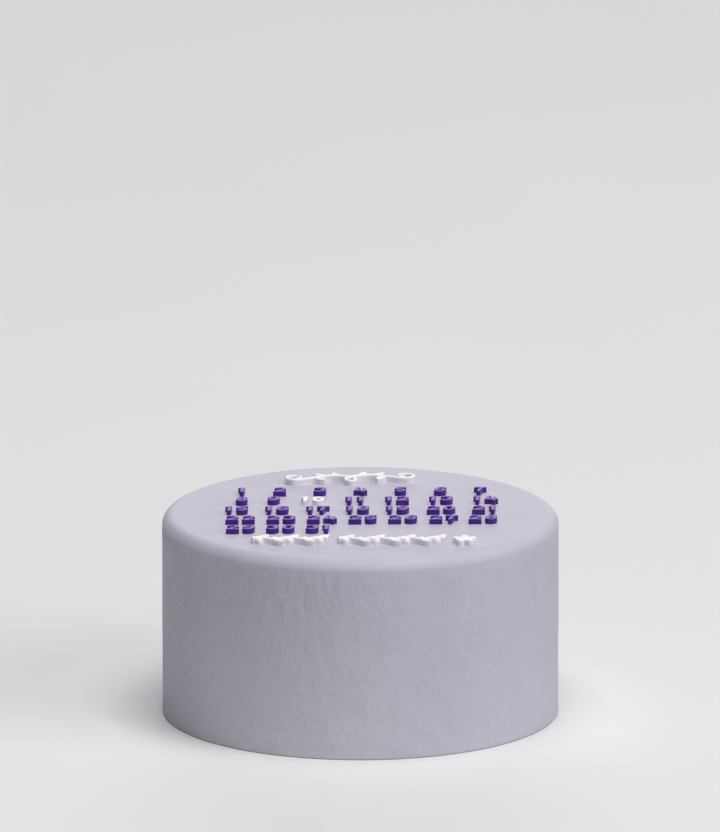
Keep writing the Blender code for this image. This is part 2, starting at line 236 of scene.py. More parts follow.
SCROLL_LEAVES = ((5.5 * MM, 3.2 * MM, 65), (12.5 * MM, 3.0 * MM, 42), (17.0 * MM, 0.6 * MM, -125))
CURL_RADIUS = 5.0 * MM
CURL_HEIGHT = 0.9 * MM
CURL_START = -80
CURL_CLOSING = 0.58
CURL_STEPS = 12
FINER_STEPS = 4
DROP = (2.5 * MM, 3.5 * MM)
DROP_HEIGHT = -3.4 * MM
DROP_STROKE = 2.0 * MM
GARLANDS = {"garland_front_left": (38.0 * MM, 5), "garland_front_middle": (53.5 * MM, 7)}
GARLAND_STEM = 2.3 * MM
GARLAND_WAVE = 1.6 * MM
WAVE_STEPS = 16
LEAF_HEADING = 46
BERRY_RADIUS = 1.9 * MM
BERRY_SUNK = 0.2
FLOWER_PETALS = 5
BUTTON_RADIUS = 1.9 * MM
BUTTON_SHOULDER = 0.45
BUTTON_STEPS = 8
BUTTON_AROUND = 28
VOXEL = 0.2 * MM
ORNAMENT_SOFTENED = 4
DIGIT_SOFTENED = 6

# The camera: how far off, how high, and where the middle of the cake falls in a picture of this size.
CAMERA_DISTANCE = 10.0
CAMERA_ELEVATION = math.radians(14.51)
PICTURE = (720, 832)
CAKE_PIXEL = (360.41, 611.12)
PIXELS_PER_RADIUS = 198.25
SENSOR = 36.0

# Soft square lights: azimuth, elevation, power and colour of each. Azimuth 0 is in front of the cake and 90
# on its right.
LIGHT_DISTANCE = 6.0
LIGHT_SIZE = 3.9
LIGHTS = {
    "key": (60, 30, 133, (1, 1, 1)),
    "overhead": (20, 80, 294, (1, 1, 1)),
    "back": (180, 16, 92, (1.0, 0.93, 0.94)),
}
SURROUNDINGS = 0.02
FLOOR_REACH = 6
FLOOR_SHADES = ((0.79, 0.79, 0.79, 1), (0.805, 0.805, 0.805, 1))
FLOOR_CLOUDS = (0.4, 2.0, 0.5)
FLOOR_ROUGHNESS = 0.75


# Node trees


def put(tree, kind, inputs=(), **settings):
    """A new node with these settings. Each input is a value or another node's output."""
    node = tree.nodes.new(kind)
    for name, value in settings.items():
        setattr(node, name, value)
    pairs = inputs.items() if isinstance(inputs, dict) else enumerate(inputs)
    for key, value in pairs:
        if isinstance(value, bpy.types.NodeSocket):
            tree.links.new(value, node.inputs[key])
        elif value is not None:
            node.inputs[key].default_value = value
    return node


def sums(tree, operation, *values, clamp=False):
    """The result of a Math node."""
    return put(tree, "ShaderNodeMath", values, operation=operation, use_clamp=clamp).outputs[0]


def vectors(tree, operation, *values):
    """The result of a Vector Math node, where a lone number goes to its Scale."""
    if operation == "SCALE":
        values = {0: values[0], "Scale": values[1]}
    return put(tree, "ShaderNodeVectorMath", values, operation=operation).outputs[0]


def stored(tree, geometry, name, value, kind="FLOAT"):
    """The geometry with a named value stored on each of its points."""
    node = put(tree, "GeometryNodeStoreNamedAttribute", data_type=kind, domain="POINT")
    tree.links.new(geometry, node.inputs["Geometry"])
    node.inputs["Name"].default_value = name
    tree.links.new(value, node.inputs["Value"])
    return node.outputs[0]


def recalled(tree, name, kind="FLOAT"):
    """A named value of each point."""
    return put(tree, "GeometryNodeInputNamedAttribute", {"Name": name}, data_type=kind).outputs[0]


# The socket for each kind of named input.
SOCKETS = {
    bool: "NodeSocketBool",
    int: "NodeSocketInt",
    float: "NodeSocketFloat",
    bpy.types.Object: "NodeSocketObject",
    bpy.types.Material: "NodeSocketMaterial",
}


def new_tree(name, sizes):
    """An empty Geometry Nodes tree with these named inputs. Returns it and its inputs' outlets."""
    tree = bpy.data.node_groups.new(name, "GeometryNodeTree")
    tree.interface.new_socket("Geometry", in_out="INPUT", socket_type="NodeSocketGeometry")
    tree.interface.new_socket("Geometry", in_out="OUTPUT", socket_type="NodeSocketGeometry")
    for label, kind in sizes.items():
        tree.interface.new_socket(label, in_out="INPUT", socket_type=SOCKETS[kind])
    return tree, tree.nodes.new("NodeGroupInput").outputs


def close_tree(tree, geometry, material):
    """Ends a tree: real faces, smooth, of one material."""
    smooth = put(tree, "GeometryNodeSetShadeSmooth", [geometry]).outputs[0]
    real = put(tree, "GeometryNodeRealizeInstances", [smooth]).outputs[0]
    named = put(tree, "GeometryNodeSetMaterial", {"Geometry": real, "Material": material}).outputs[0]
    put(tree, "NodeGroupOutput", [named])
    return tree


def made_by(tree, mesh, **sizes):
    """The plain mesh that a tree makes of this one."""
    obj = bpy.data.objects.new("work", mesh)
    bpy.context.scene.collection.objects.link(obj)
    modifier = obj.modifiers.new("make", "NODES")
    modifier.node_group = tree
    sockets = {s.name: s.identifier for s in tree.interface.items_tree if s.in_out == "INPUT"}
    for label, value in sizes.items():
        modifier[sockets[label.replace("_", " ").capitalize()]] = value
    obj.update_tag()
    bpy.context.view_layer.update()
    graph = bpy.context.evaluated_depsgraph_get()
    made = bpy.data.meshes.new_from_object(obj.evaluated_get(graph))
    bpy.data.objects.remove(obj)
    return made


def covering_tree():
    """Sweeps an outline round the middle, then lets the paste stray a little from true."""
    tree, size = new_tree(
        "covering",
        {"Around": int, "Unevenness": float, "Hollow": float, "Seed": float, "Material": bpy.types.Material},
    )
    place = put(tree, "GeometryNodeInputPosition").outputs[0]
    outline = put(tree, "GeometryNodeMeshToCurve", [size["Geometry"]]).outputs[0]
    outline = stored(tree, outline, "outline", place, "FLOAT_VECTOR")
    circle = put(tree, "GeometryNodeCurvePrimitiveCircle", {"Resolution": size["Around"], "Radius": 1.0})
    way = stored(tree, circle.outputs[0], "way", place, "FLOAT_VECTOR")
    swept = put(tree, "GeometryNodeCurveToMesh", {"Curve": way, "Profile Curve": outline}).outputs[0]
    outline = put(tree, "ShaderNodeSeparateXYZ", [recalled(tree, "outline", "FLOAT_VECTOR")])
    out = vectors(tree, "SCALE", recalled(tree, "way", "FLOAT_VECTOR"), outline.outputs["X"])
    up = put(tree, "ShaderNodeCombineXYZ", {"Z": outline.outputs["Z"]}).outputs[0]
    true_place = vectors(tree, "ADD", out, up)
    shell = put(tree, "GeometryNodeSetPosition", {"Geometry": swept, "Position": true_place}).outputs[0]
    shell = put(tree, "GeometryNodeMergeByDistance", {"Geometry": shell, "Distance": SEAM}).outputs[0]
    hollows = put(
        tree,
        "ShaderNodeTexNoise",
        {
            "Vector": place,
            "W": size["Seed"],
            "Scale": sums(tree, "DIVIDE", 1.0, size["Hollow"]),
            "Detail": 2.0,
            "Roughness": 0.45,
        },
        noise_dimensions="4D",
    )
    inwards = sums(tree, "MINIMUM", sums(tree, "SUBTRACT", hollows.outputs[0], CREST), 0.0)
    normal = put(tree, "GeometryNodeInputNormal").outputs[0]
    height = put(tree, "ShaderNodeSeparateXYZ", [place]).outputs["Z"]
    level = put(tree, "ShaderNodeSeparateXYZ", [normal]).outputs["Z"]
    off_foot = put(tree, "ShaderNodeMapRange", {"Value": height, "From Max": TRUE_FOOT}).outputs[0]
    on_side = put(tree, "ShaderNodeMapRange", {"Value": level, "To Min": 1.0, "To Max": TOP_SHARE}).outputs[0]
    depth = sums(tree, "MULTIPLY", sums(tree, "MULTIPLY", inwards, size["Unevenness"]), off_foot)
    depth = sums(tree, "MULTIPLY", depth, on_side)
    shift = vectors(tree, "SCALE", normal, depth)
    shell = put(tree, "GeometryNodeSetPosition", {"Geometry": shell, "Offset": shift}).outputs[0]
    return close_tree(tree, shell, size["Material"])


def strip_tree():
    """Sweeps a rounded section along paths. Each point of a path holds the step to its left, half the strip's
    width there, and how far the top drops there."""
    tree, size = new_tree(
        "paste_strip",
        {"Thickness": float, "Edge": float, "Steps": int, "Material": bpy.types.Material},
    )
    # The section runs from the left foot over the top to the right foot.
    count = sums(tree, "MULTIPLY", sums(tree, "ADD", size["Steps"], 2.0), 2.0)
    line = put(tree, "GeometryNodeMeshLine", {"Count": count, "Offset": (0, 0, MM)}).outputs[0]
    index = put(tree, "GeometryNodeInputIndex").outputs[0]
    mirrored = sums(tree, "SUBTRACT", sums(tree, "SUBTRACT", count, 1.0), index)
    station = sums(tree, "MINIMUM", index, mirrored)
    turn = sums(tree, "DIVIDE", sums(tree, "SUBTRACT", station, 1.0), size["Steps"], clamp=True)
    turn = sums(tree, "MULTIPLY", turn, math.pi / 2)
    inset = sums(tree, "MULTIPLY", sums(tree, "SUBTRACT", 1.0, sums(tree, "COSINE", turn)), size["Edge"])
    lowered = sums(tree, "MULTIPLY", sums(tree, "SUBTRACT", 1.0, sums(tree, "SINE", turn)), size["Edge"])
    height = sums(tree, "SUBTRACT", size["Thickness"], lowered)
    height = sums(tree, "MULTIPLY", height, sums(tree, "GREATER_THAN", station, 0.5))
    side = sums(tree, "SIGN", sums(tree, "SUBTRACT", mirrored, index))
    line = stored(tree, line, "inset", inset)
    line = stored(tree, line, "height", height)
    line = stored(tree, line, "side", side)
    section = put(tree, "GeometryNodeMeshToCurve", [line]).outputs[0]
    closed = put(tree, "GeometryNodeSetSplineCyclic", {"Geometry": section, "Cyclic": True}).outputs[0]
    path = put(tree, "GeometryNodeMeshToCurve", [size["Geometry"]]).outputs[0]
    place = put(tree, "GeometryNodeInputPosition").outputs[0]
    path = stored(tree, path, "spine", place, "FLOAT_VECTOR")
    swept = put(
        tree, "GeometryNodeCurveToMesh", {"Curve": path, "Profile Curve": closed, "Fill Caps": True}
    ).outputs[0]
    half = recalled(tree, "half_width")
    reach = sums(tree, "SUBTRACT", half, recalled(tree, "inset"))
    reach = sums(tree, "MAXIMUM", reach, sums(tree, "MULTIPLY", half, LEAST_SHARE))
    reach = sums(tree, "MULTIPLY", reach, recalled(tree, "side"))
    lid = sums(tree, "SUBTRACT", size["Thickness"], recalled(tree, "drop"))
    up = put(
        tree, "ShaderNodeCombineXYZ", {"Z": sums(tree, "MINIMUM", recalled(tree, "height"), lid)}
    ).outputs[0]
    out = vectors(tree, "SCALE", recalled(tree, "left", "FLOAT_VECTOR"), reach)
    true_place = vectors(tree, "ADD", vectors(tree, "ADD", recalled(tree, "spine", "FLOAT_VECTOR"), out), up)
    solid = put(tree, "GeometryNodeSetPosition", {"Geometry": swept, "Position": true_place}).outputs[0]
    return close_tree(tree, solid, size["Material"])


def set_out_tree():
    """Sets a shape out on points, each of which holds the way that the shape is turned."""
    tree, size = new_tree("set_out", {"Shape": bpy.types.Object, "Material": bpy.types.Material})
    shape = put(tree, "GeometryNodeObjectInfo", {"Object": size["Shape"]}).outputs["Geometry"]
    turn = put(tree, "ShaderNodeCombineXYZ", {"Z": recalled(tree, "turn")}).outputs[0]
    rotation = put(tree, "FunctionNodeEulerToRotation", [turn]).outputs[0]
    copies = put(
        tree,
        "GeometryNodeInstanceOnPoints",
        {"Points": size["Geometry"], "Instance": shape, "Rotation": rotation},
    ).outputs[0]
    return close_tree(tree, copies, size["Material"])


# Materials


def new_material(name):
    """A material, with its tree and its shader."""
    material = bpy.data.materials.new(name)
    material.use_nodes = True
    tree = material.node_tree
    return material, tree, tree.nodes["Principled BSDF"]


def noise(tree, vector, width, detail, roughness):
    """A noise whose marks are about this many metres wide."""
    return put(
        tree,
        "ShaderNodeTexNoise",
        {"Vector": vector, "Scale": 1 / width, "Detail": detail, "Roughness": roughness},
    ).outputs[0]


def ranged(tree, value, low, high, to_low, to_high, smooth=False):
    """A value carried from one range to another, and held at its ends."""
    kind = "SMOOTHSTEP" if smooth else "LINEAR"
    inputs = {0: value, 1: low, 2: high, 3: to_low, 4: to_high}
    return put(tree, "ShaderNodeMapRange", inputs, interpolation_type=kind).outputs[0]


def mixed(tree, share, first, second):
    """A colour between two. Inputs 6 and 7 and output 2 are the node's sockets for colours."""
    node = put(tree, "ShaderNodeMix", data_type="RGBA")
    for socket, value in zip((node.inputs[0], node.inputs[6], node.inputs[7]), (share, first, second)):
        if isinstance(value, bpy.types.NodeSocket):
            tree.links.new(value, socket)
        else:
            socket.default_value = value
    return node.outputs[2]


def bumped(tree, height, distance, normal=None):
    """The normal of a surface with these heights on it, over any bumps that it has already."""
    inputs = {"Height": height, "Distance": distance}
    if normal is not None:
        inputs["Normal"] = normal
    return put(tree, "ShaderNodeBump", inputs).outputs[0]


def lilac_icing():
    """Rolled sugar paste, smoothed by hand: slanting marks and creases on its side, and a fine grain."""
    material, tree, shader = new_material("rolled_lilac_icing")
    shader.inputs["IOR"].default_value = ICING_IOR
    place = put(tree, "ShaderNodeTexCoord").outputs["Object"]
    across = put(tree, "ShaderNodeSeparateXYZ", [place]).outputs["X"]
    height = put(tree, "ShaderNodeSeparateXYZ", [place]).outputs["Z"]
    below_rim, near_top = CAKE_HEIGHT - 2 * RIM_RADIUS, CAKE_HEIGHT - RIM_RADIUS / 3
    on_side = ranged(tree, height, below_rim, near_top, 1.0, MARKED_TOP, True)
    leaning = leaned(tree, place, across, height)
    drawn = put(tree, "ShaderNodeMapping", {"Vector": leaning, "Scale": MARK_STRETCH}).outputs[0]
    marks = noise(tree, drawn, *MARKS)
    broad = noise(tree, drawn, *BROAD_MARKS)
    steps = creases(tree, place, leaning)
    worked = sums(tree, "MULTIPLY", on_side, ranged(tree, across, *WORKED_ACROSS, *WORKED, True))
    normal = bumped(tree, noise(tree, place, *GRAIN), GRAIN_DEPTH)
    for relief, depth in ((marks, MARKS_DEPTH), (broad, BROAD_DEPTH), (steps, CREASES_DEPTH)):
        normal = bumped(tree, sums(tree, "MULTIPLY", relief, worked), depth, normal)
    tree.links.new(normal, shader.inputs["Normal"])
    rubbed = sums(tree, "MULTIPLY", ranged(tree, marks, *WIDE_SPAN, 0.0, 1.0), on_side)
    colour = icing_colour(tree, place, across, height, rubbed)
    tree.links.new(colour, shader.inputs["Base Color"])
    tree.links.new(ranged(tree, marks, *WIDE_SPAN, *ICING_ROUGHNESS), shader.inputs["Roughness"])
    return material


def leaned(tree, place, across, height):
    """Places turned about the cake's middle, the more the higher they are, and bowed a little. Marks drawn
    upright on them lean over to the right on the left of the side, and to the left elsewhere."""
    lean = ranged(tree, across, *LEAN_ACROSS, *LEAN_PER_METRE, True)
    lean = sums(tree, "MULTIPLY", lean, sums(tree, "SUBTRACT", height, LEVEL_OF_LEAN))
    turned = put(
        tree, "ShaderNodeVectorRotate", {"Vector": place, "Angle": lean}, rotation_type="Z_AXIS"
    ).outputs[0]
    return vectors(tree, "ADD", turned, wander(tree, place, *MARKS_BOW))


def creases(tree, place, leaning):
    """Where the smoother stopped, a faint step is left: the edges of slow, bowed patches, here and there."""
    bowed = vectors(tree, "ADD", leaning, wander(tree, place, *CREASES_BOW))
    edges = ranged(tree, noise(tree, bowed, *CREASES), *CREASES_EDGE, 0.0, 1.0, True)
    here = ranged(tree, noise(tree, place, *CREASED), *CREASED_SPAN, 0.0, 1.0)
    return sums(tree, "MULTIPLY", edges, here)


def icing_colour(tree, place, across, height, rubbed):
    """Two shades in slow patches with finer specks, paler towards the foot with painted light bounced up from
    the floor, most of all on the left of the front, and a little darker where it was rubbed."""
    patches = ranged(tree, noise(tree, place, *PATCHES), *NARROW_SPAN, 0.0, 1.0)
    colour = mixed(tree, patches, *ICING_SHADES)
    specks = ranged(tree, noise(tree, place, *SPECKS), *SPECKS_SPAN, 0.0, SPECKED)
    colour = mixed(tree, specks, colour, SPECK_SHADE)
    # Painted light bounced up from the floor: paler towards the foot, most on the left of the front, less at
    # the far left.
    painted_bounce = ranged(tree, height, 0.0, CAKE_HEIGHT - RIM_RADIUS, PAINTED_BOUNCE_SHARE, 0.0)
    painted_bounce = sums(tree, "MULTIPLY", painted_bounce, ranged(tree, across, *FRONT_ACROSS, *PAINTED_BOUNCE_IN_FRONT, True))
    painted_bounce = sums(tree, "MULTIPLY", painted_bounce, ranged(tree, across, *FAR_LEFT, *PAINTED_BOUNCE_AT_FAR_LEFT, True))
    colour = mixed(tree, painted_bounce, colour, PAINTED_BOUNCE_COLOUR)
    return mixed(tree, sums(tree, "MULTIPLY", rubbed, RUBBED), colour, RUBBED_SHADE)


def wander(tree, place, width, reach):
    """A slow wandering step, so that marks and creases bow instead of running straight."""
    slow = put(tree, "ShaderNodeTexNoise", {"Vector": place, "Scale": 1 / width, "Detail": 1.0}).outputs[1]
    return vectors(tree, "SCALE", vectors(tree, "SUBTRACT", slow, (0.5, 0.5, 0.5)), reach)


def paste(name, light, dark, film_and_painted_light, gloss, matt):
    """Cut sugar paste: a little cloudy and finely grained. The rolled face keeps a coating of fine sugar and
    is paler with painted light from above, and the cut sides are deeper in colour."""
    material, tree, shader = new_material(name)
    place = put(tree, "ShaderNodeTexCoord").outputs["Object"]
    clouds = ranged(tree, noise(tree, place, *PASTE_CLOUDS), *NARROW_SPAN, 0.0, 1.0)
    facing = put(tree, "ShaderNodeNewGeometry").outputs["Normal"]
    level = put(tree, "ShaderNodeSeparateXYZ", [facing]).outputs["Z"]
    # Painted light from above, with the sugar coating: what faces upwards is paler than the cut sides.
    film_and_light = ranged(tree, level, *FILM_AND_LIGHT_SPAN, 0.0, 1.0, True)
    colour = mixed(tree, film_and_light, mixed(tree, clouds, dark, light), film_and_painted_light)
    tree.links.new(colour, shader.inputs["Base Color"])
    dust = ranged(tree, noise(tree, place, *PASTE_DUST), *NARROW_SPAN, gloss, matt)
    tree.links.new(dust, shader.inputs["Roughness"])
    normal = bumped(tree, noise(tree, place, *PASTE_GRAIN), PASTE_GRAIN_DEPTH)
    normal = bumped(tree, noise(tree, place, *PASTE_DENTS), PASTE_DENTS_DEPTH, normal)
    tree.links.new(normal, shader.inputs["Normal"])
    return material


def sheen(material, weight, tint):
    """A soft bloom at low angles, as of paste that was rolled out on fine sugar."""
    shader = material.node_tree.nodes["Principled BSDF"]
    shader.inputs["Sheen Weight"].default_value = weight
    shader.inputs["Sheen Roughness"].default_value = BLOOM_ROUGHNESS
    shader.inputs["Sheen Tint"].default_value = tint


# Paths


def arc(centre, radii, start, end):
    """Points of an elliptical arc between two angles in degrees, both ends among them."""
    start, end = math.radians(start), math.radians(end)
    steps = max(2, round(abs(end - start) / ARC_STEP))
    angles = [start + (end - start) * i / steps for i in range(steps + 1)]
    return [(centre[0] + radii[0] * math.cos(a), centre[1] + radii[1] * math.sin(a)) for a in angles]


def ellipse(centre, radii):
    """Points of a whole ellipse, with the first not repeated."""
    return arc(centre, radii, 0, 360)[:-1]


def zero():
    """A tall ring."""
    return [(ellipse((MIDDLE, DIGIT_HEIGHT / 2), (REACH, DIGIT_HEIGHT / 2 - LEFT)), True)]


def one():
    """A stem, and a flag from its top down to the left."""
    head = ONE_STEM + ONE_LEAN
    stem = [(ONE_STEM, 0), (head, DIGIT_HEIGHT)]
    flag = [(head, TOP), (LEFT, DIGIT_HEIGHT - ONE_FLAG)]
    return [(stem, False), (flag, False)]


def two():
    """A round crown that runs down to a straight base."""
    across, tall = TWO_CROWN
    crown = arc((LEFT + across, TOP - tall), TWO_CROWN, 170, -30)
    neck = (1.5 * LEFT, 1.5 * LEFT)
    return [(crown + [neck], False), ([(0, LEFT), (TWO_WIDTH, LEFT)], False)]


def three():
    """Two open bows that meet at the waist."""
    upper = arc((MIDDLE, WAIST + UPPER_RADIUS), (REACH, UPPER_RADIUS), 170, -90)
    lower = arc((MIDDLE, WAIST - LOWER_RADIUS), (1.08 * REACH, LOWER_RADIUS), 90, -165)
    return [(upper, False), (lower, False)]


def four():
    """Open at its top: a leaning arm, a bar that runs past the stem, and the stem."""
    foot, head = FOUR_ARM
    arm = [(head, DIGIT_HEIGHT), (foot, FOUR_BAR)]
    bar = [(0, FOUR_BAR), (FOUR_WIDTH, FOUR_BAR)]
    stem = [(FOUR_STEM, DIGIT_HEIGHT - DIGIT_STROKE), (FOUR_STEM, 0)]
    return [(arm, False), (bar, False), (stem, False)]


def five():
    """A bar, a short stem and an open bowl."""
    shoulder = (1.1 * LEFT, 0.55 * DIGIT_HEIGHT)
    bar = [(RIGHT + DIGIT_STROKE / 3, TOP), (LEFT, TOP)]
    stem = [(1.4 * LEFT, TOP + LEFT / 2), shoulder]
    bowl = [shoulder] + arc((MIDDLE, BOWL), (REACH, BOWL - LEFT), 110, -150)
    return [(bar, False), (stem, False), (bowl, False)]


def six():
    """A round bowl, and a tail that rises from its left side and comes round over it."""
    half = DIGIT_HEIGHT / 2
    across = SIX_REACH * REACH
    tail = [(LEFT, BOWL)] + arc((LEFT + across, half), (across, TOP - half), 180, SIX_OPENING)
    return [(ellipse((MIDDLE, BOWL), (REACH, BOWL - LEFT)), True), (tail, False)]


def seven():
    """A bar, and a stem that sweeps from its right end down to an upright foot."""
    bar = [(0, TOP), (SEVEN_WIDTH, TOP)]
    stem = arc((SEVEN_FOOT + SEVEN_SWEEP[0], 0), SEVEN_SWEEP, 105, 180)
    return [(bar, False), (stem, False)]


def eight():
    """Two rings, the upper one a little smaller."""
    upper = ellipse((MIDDLE, WAIST + UPPER_RADIUS), (0.84 * REACH, UPPER_RADIUS))
    lower = ellipse((MIDDLE, WAIST - LOWER_RADIUS), (0.96 * REACH, LOWER_RADIUS))
    return [(upper, True), (lower, True)]


def nine():
    """A six turned half round."""
    return [([(DIGIT_WIDTH - x, DIGIT_HEIGHT - y) for x, y in path], closed) for path, closed in six()]


NUMERALS = (zero, one, two, three, four, five, six, seven, eight, nine)


def side_steps(points, closed):
    """For each point of a path, the step to its left that keeps a strip's width round a bend."""
    path = [Vector(point) for point in points]
    spans = list(zip(path, path[1:] + path[:1]))
    if not closed:
        spans.pop()
    normals = []
    for near, far in spans:
        way = (far - near).normalized()
        normals.append(Vector((-way.y, way.x)))
    before = normals[-1:] + normals[:-1] if closed else normals[:1] + normals
    after = normals if closed else normals + normals[-1:]
    steps = []
    for first, second in zip(before, after):
        middle = (first + second).normalized()
        steps.append(middle / max(SHARPEST_MITRE, middle.dot(second)))
    return steps


def end_stations(edge):
    """Distances from a strip's end at which its top has risen another step, with how far the top still drops
    there and how far the corner's rounding still takes off each side."""
    stations = []
    for i in range(EDGE_STEPS + 1):
        a = math.pi / 2 * i / EDGE_STEPS
        away = edge * (1 - math.cos(a))
        off = max(0, CORNER - away)
        taken = CORNER - math.sqrt(max(0, CORNER**2 - off**2))
        stations.append((away, edge * (1 - math.sin(a)), taken))
    return stations


def with_ends(points, halves, edge):
    """A path's points, half widths and drops, with the stations of both ends put in."""
    path = [Vector(point) for point in points]
    from_start = (path[1] - path[0]).normalized()
    from_end = (path[-2] - path[-1]).normalized()
    head, tail = [], []
    for away, drop, taken in end_stations(edge):
        head.append((path[0] + from_start * away, halves[0] - taken, drop))
        tail.append((path[-1] + from_end * away, halves[-1] - taken, drop))
    middle = [(point, half, 0) for point, half in zip(path[1:-1], halves[1:-1])]
    clear = [row for row in middle if min((row[0] - end).length for end in (path[0], path[-1])) > edge]
    return zip(*(head + clear + tail[::-1]))


def paths_mesh(strokes, edge):
    """Edges along each stroke, with what the strip tree reads stored on their points. A stroke is its points,
    its width at each of them, and whether it is closed."""
    places, edges, lefts, halves, drops = [], [], [], [], []
    for points, widths, closed in strokes:
        half = [width / 2 for width in widths]
        if closed:
            path, drop = points, [0] * len(points)
        else:
            path, half, drop = with_ends(points, half, edge)
        first = len(places)
        places += [(x, y, 0) for x, y in path]
        lefts += [value for step in side_steps(path, closed) for value in (*step, 0)]
        halves += half
        drops += drop
        last = len(places) - 1
        edges += [(i, i + 1) for i in range(first, last)]
        if closed:
            edges.append((last, first))
    mesh = bpy.data.meshes.new("paths")
    mesh.from_pydata(places, edges, [])
    mesh.attributes.new("left", "FLOAT_VECTOR", "POINT").data.foreach_set("vector", lefts)
    mesh.attributes.new("half_width", "FLOAT", "POINT").data.foreach_set("value", halves)
    mesh.attributes.new("drop", "FLOAT", "POINT").data.foreach_set("value", drops)
    return mesh


# Pieces


# What the trees store on a mesh while they make it, and a finished piece doesn't keep.
WORKING = ("outline", "way", "inset", "height", "side", "spine", "left", "half_width", "drop", "turn")


def finish_piece(name, mesh, slot, *nodes):
    """A finished piece: an object at the origin that stands for these nodes."""
    for label in WORKING:
        if label in mesh.attributes:
            mesh.attributes.remove(mesh.attributes[label])
    mesh.name = name
    piece = bpy.data.objects.new(name, mesh)
    bpy.context.scene.collection.objects.link(piece)
    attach(piece, "root")
    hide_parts(*nodes)
    return piece


def put_on(mesh, node):
    """Moves a mesh over its node, with its top level with the node's."""
    low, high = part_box(node)
    xs, ys, zs = zip(*(v.co for v in mesh.vertices))
    middle = Vector((min(xs) + max(xs), min(ys) + max(ys))) / 2
    target = (low + high) / 2
    mesh.transform(Matrix.Translation((target.x - middle.x, target.y - middle.y, high.z - max(zs))))


def thickness_over(node):
    """From the covering, into which a piece is pressed a little, up to the node's top."""
    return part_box(node)[1].z - CAKE_HEIGHT + PRESSED_IN + UNEVENNESS / 2


def cake_outline():
    """Distance out and height along the covering, from the middle of the top to the middle of the foot."""
    flat = CAKE_RADIUS - RIM_RADIUS
    points = [(flat * i / TOP_RINGS, CAKE_HEIGHT) for i in range(TOP_RINGS)]
    for i in range(RIM_STEPS + 1):
        a = math.pi / 2 * i / RIM_STEPS
        points.append((flat + RIM_RADIUS * math.sin(a), CAKE_HEIGHT - RIM_RADIUS * (1 - math.cos(a))))
    tall = CAKE_HEIGHT - RIM_RADIUS - FOOT_RADIUS
    points += [(CAKE_RADIUS, FOOT_RADIUS + tall * (1 - i / SIDE_RINGS)) for i in range(1, SIDE_RINGS)]
    for i in range(FOOT_STEPS + 1):
        a = math.pi / 2 * i / FOOT_STEPS
        points.append((CAKE_RADIUS - FOOT_RADIUS * (1 - math.cos(a)), FOOT_RADIUS * (1 - math.sin(a))))
    under = CAKE_RADIUS - FOOT_RADIUS
    return points + [(under * (1 - i / UNDER_RINGS), 0) for i in range(1, UNDER_RINGS + 1)]


def add_covering(material):
    """The icing over the whole cake."""
    outline = cake_outline()
    mesh = bpy.data.meshes.new("outline")
    mesh.from_pydata([(x, 0, z) for x, z in outline], [(i, i + 1) for i in range(len(outline) - 1)], [])
    made = made_by(
        covering_tree(),
        mesh,
        around=AROUND,
        unevenness=UNEVENNESS,
        hollow=HOLLOW,
        seed=HOLLOW_SEED,
        material=material,
    )
    return finish_piece("icing", outwards(made), "lilac_icing", "cake")


def outwards(mesh):
    """The mesh with its faces turned outwards."""
    shape = bmesh.new()
    shape.from_mesh(mesh)
    bmesh.ops.recalc_face_normals(shape, faces=shape.faces)
    shape.to_mesh(mesh)
    shape.free()
    return mesh


def numeral(digit, tree, thickness, material):
    """One numeral, slanted as cut."""
    strokes = [(path, [DIGIT_STROKE] * len(path), closed) for path, closed in NUMERALS[digit]()]
    mesh = softened([strips_of(tree, strokes, thickness, DIGIT_EDGE, material)], DIGIT_SOFTENED, material)
    slant = Matrix.Identity(4)
    slant[0][1] = math.tan(DIGIT_SLANT)
    mesh.transform(Matrix.Rotation(CALENDAR_TURN, 4, "Z") @ slant)
    return mesh


def add_numerals(strips, purple, white):
    """Each digit of each day over its node, whose name holds the day and which of its digits it is."""
    shapes = {}
    for node in sorted(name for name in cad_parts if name.startswith("day_")):
        day, place = int(node[4:6]), node[7:]
        digit = day // 10 if place == "tens" else day % 10
        is_white = node.startswith(MARKED_DAY)
        if (digit, is_white) not in shapes:
            material = white if is_white else purple
            shapes[digit, is_white] = numeral(digit, strips, thickness_over(node), material)
        mesh = shapes[digit, is_white].copy()
        put_on(mesh, node)
        slot = "white_paste" if is_white else "purple_paste"
        finish_piece(f"numeral_{day:02}_{place}", mesh, slot, node)


def between(shape, t):
    """The share of its width that a leaf has at this share of its length, eased from one named point to the
    next, with a round tip."""
    for (near, low), (far, high) in zip(shape, shape[1:]):
        if t <= far:
            s = (t - near) / (far - near)
            share = low + (high - low) * s * s * (3 - 2 * s)
            break
    tip = max(0, (t - LEAF_TIP) / (1 - LEAF_TIP))
    return share * math.sqrt(max(LEAF_END, 1 - tip * tip))


def leaf_shape(size, shape, thickness, vein):
    """A leaf or petal along +X from its stalk: upright sides, a domed top, and a groove along its middle."""
    length, width = size
    mesh = bmesh.new()
    rings = []
    for i in range(LEAF_STEPS + 1):
        t = i / LEAF_STEPS
        half = width / 2 * between(shape, t)
        ring = [mesh.verts.new((length * t, half, 0))]
        for j in range(ACROSS + 1):
            u = 1 - 2 * j / ACROSS
            groove = vein * math.exp(-((u / VEIN_WIDTH) ** 2)) * math.sin(math.pi * min(1, t / VEIN_END))
            z = thickness - DOME * abs(u) ** 3 - groove
            ring.append(mesh.verts.new((length * t, half * math.sin(u * math.pi / 2), z)))
        ring.append(mesh.verts.new((length * t, -half, 0)))
        rings.append(ring)
    for near, far in zip(rings, rings[1:]):
        for j in range(len(near)):
            mesh.faces.new((near[j - 1], near[j], far[j], far[j - 1]))
    mesh.faces.new(rings[0])
    mesh.faces.new(rings[-1])
    return kept(mesh, "leaf")


